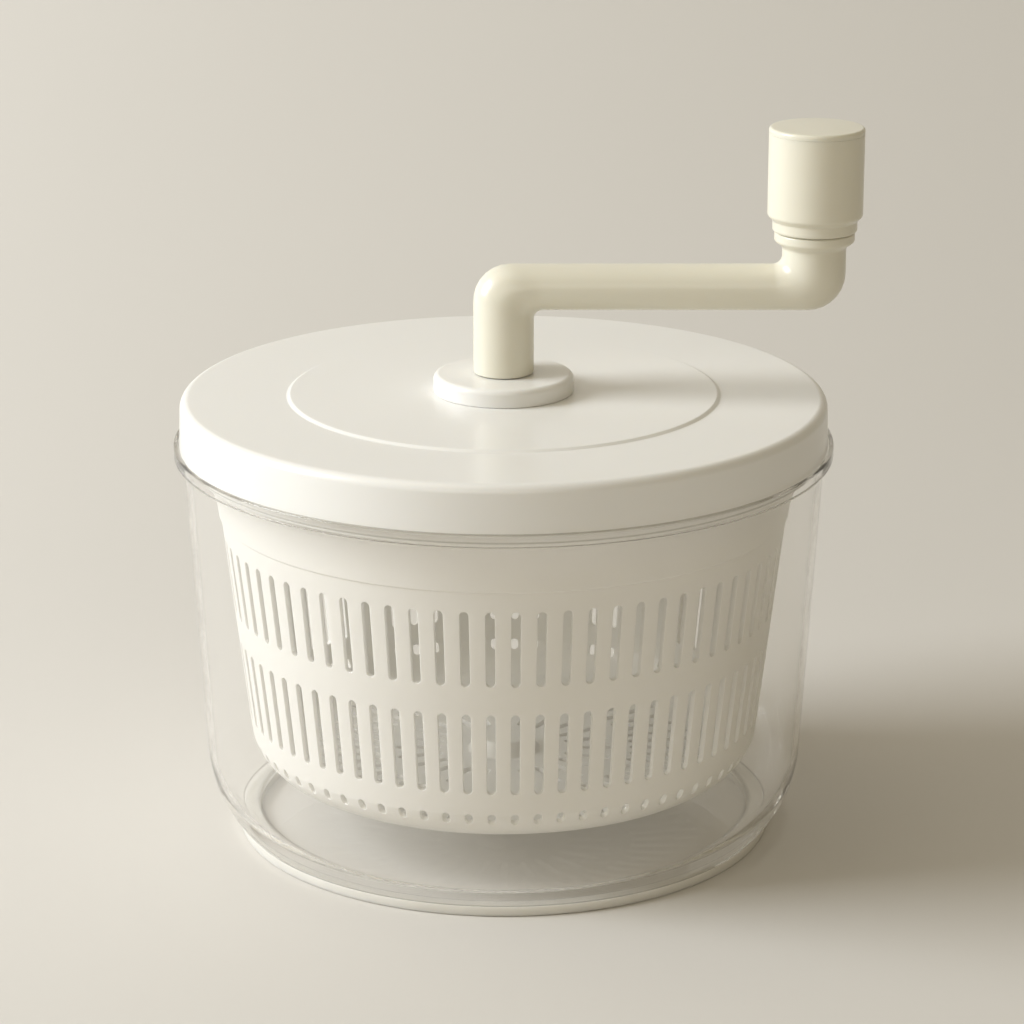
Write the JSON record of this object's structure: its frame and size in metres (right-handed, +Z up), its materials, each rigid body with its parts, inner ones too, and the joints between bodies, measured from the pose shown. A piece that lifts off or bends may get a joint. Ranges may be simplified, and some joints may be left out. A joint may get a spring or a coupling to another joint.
{
  "type": "salad spinner",
  "caption": "Crank-driven salad spinner: a clear round bowl, a slotted basket on a centre pivot and a flat lid with a gear drive, a bent crank and a turning knob.",
  "frame": {"origin": "on the spin axis at the surface that the spinner stands on", "axes": "+Z up along the spin axis; at rest the crank arm points along +X"},
  "size_m": [0.2631, 0.254, 0.277],
  "materials": {
    "clear_bowl": "clear gloss plastic",
    "ring_rubber": "translucent silicone",
    "steel": "turned",
    "bearing_plastic": "natural acetal",
    "white_basket": "semi gloss",
    "white_lid": "gloss",
    "white_inner": "semi gloss",
    "gear_plastic": "moulded",
    "cream_crank": "gloss"
  },
  "bodies": {
    "bowl": {"bowl": "clear_bowl", "anti_slip_ring": "ring_rubber", "pivot_pin": "steel"},
    "pivot": {"pivot_bush": "bearing_plastic"},
    "basket": {"basket": "white_basket"},
    "lid": {"lid_shell": "white_lid", "hub_collar": "white_lid", "shaft_bush": "bearing_plastic", "thrust_washer": "bearing_plastic", "ring_gear": "gear_plastic", "gearbox_cover": "white_inner", "cover_screws": "steel", "output_bush": "bearing_plastic"},
    "crank": {"crank_arm": "cream_crank", "planet_carrier": "gear_plastic", "planet_pins": "steel", "carrier_screw": "steel", "knob_spindle": "steel", "knob_retainer": "steel"},
    "knob": {"knob_grip": "cream_crank", "knob_cap": "cream_crank"},
    "planet_1": {"planet_gear_1": "gear_plastic"},
    "planet_2": {"planet_gear_2": "gear_plastic"},
    "planet_3": {"planet_gear_3": "gear_plastic"},
    "drive": {"sun_gear": "gear_plastic", "drive_disc": "white_inner", "drive_washer": "steel", "drive_screw": "steel"}
  },
  "joints": [
    {"name": "lid_lift", "type": "slide", "parent": "bowl", "child": "lid", "axis": [0, 0, 1], "range_m": [0, 0.3]},
    {"name": "crank_turn", "type": "hinge", "parent": "lid", "child": "crank", "pos_m": [0, 0, 0], "axis": [0, 0, 1], "continuous": true},
    {"name": "knob_spin", "type": "hinge", "parent": "crank", "child": "knob", "pos_m": [0.118, 0, 0], "axis": [0, 0, 1], "continuous": true},
    {"name": "planet_1_spin", "type": "hinge", "parent": "crank", "child": "planet_1", "pos_m": [0.0225, 0, 0], "axis": [0, 0, 1], "continuous": true},
    {"name": "planet_2_spin", "type": "hinge", "parent": "crank", "child": "planet_2", "pos_m": [-0.01125, 0.01949, 0], "axis": [0, 0, 1], "continuous": true},
    {"name": "planet_3_spin", "type": "hinge", "parent": "crank", "child": "planet_3", "pos_m": [-0.01125, -0.01949, 0], "axis": [0, 0, 1], "continuous": true},
    {"name": "drive_spin", "type": "hinge", "parent": "lid", "child": "drive", "pos_m": [0, 0, 0], "axis": [0, 0, 1], "continuous": true},
    {"name": "basket_spin", "type": "hinge", "parent": "bowl", "child": "pivot", "pos_m": [0, 0, 0], "axis": [0, 0, 1], "continuous": true},
    {"name": "basket_lift", "type": "slide", "parent": "pivot", "child": "basket", "axis": [0, 0, 1], "range_m": [0, 0.15]}
  ],
  "couplings": [
    {"joint": "planet_1_spin", "follows": "crank_turn", "ratio": -2.8},
    {"joint": "planet_2_spin", "follows": "crank_turn", "ratio": -2.8},
    {"joint": "planet_3_spin", "follows": "crank_turn", "ratio": -2.8},
    {"joint": "drive_spin", "follows": "crank_turn", "ratio": 4.5},
    {"joint": "basket_spin", "follows": "crank_turn", "ratio": 4.5},
    {"joint": "basket_lift", "follows": "lid_lift", "ratio": 0.5}
  ]
}
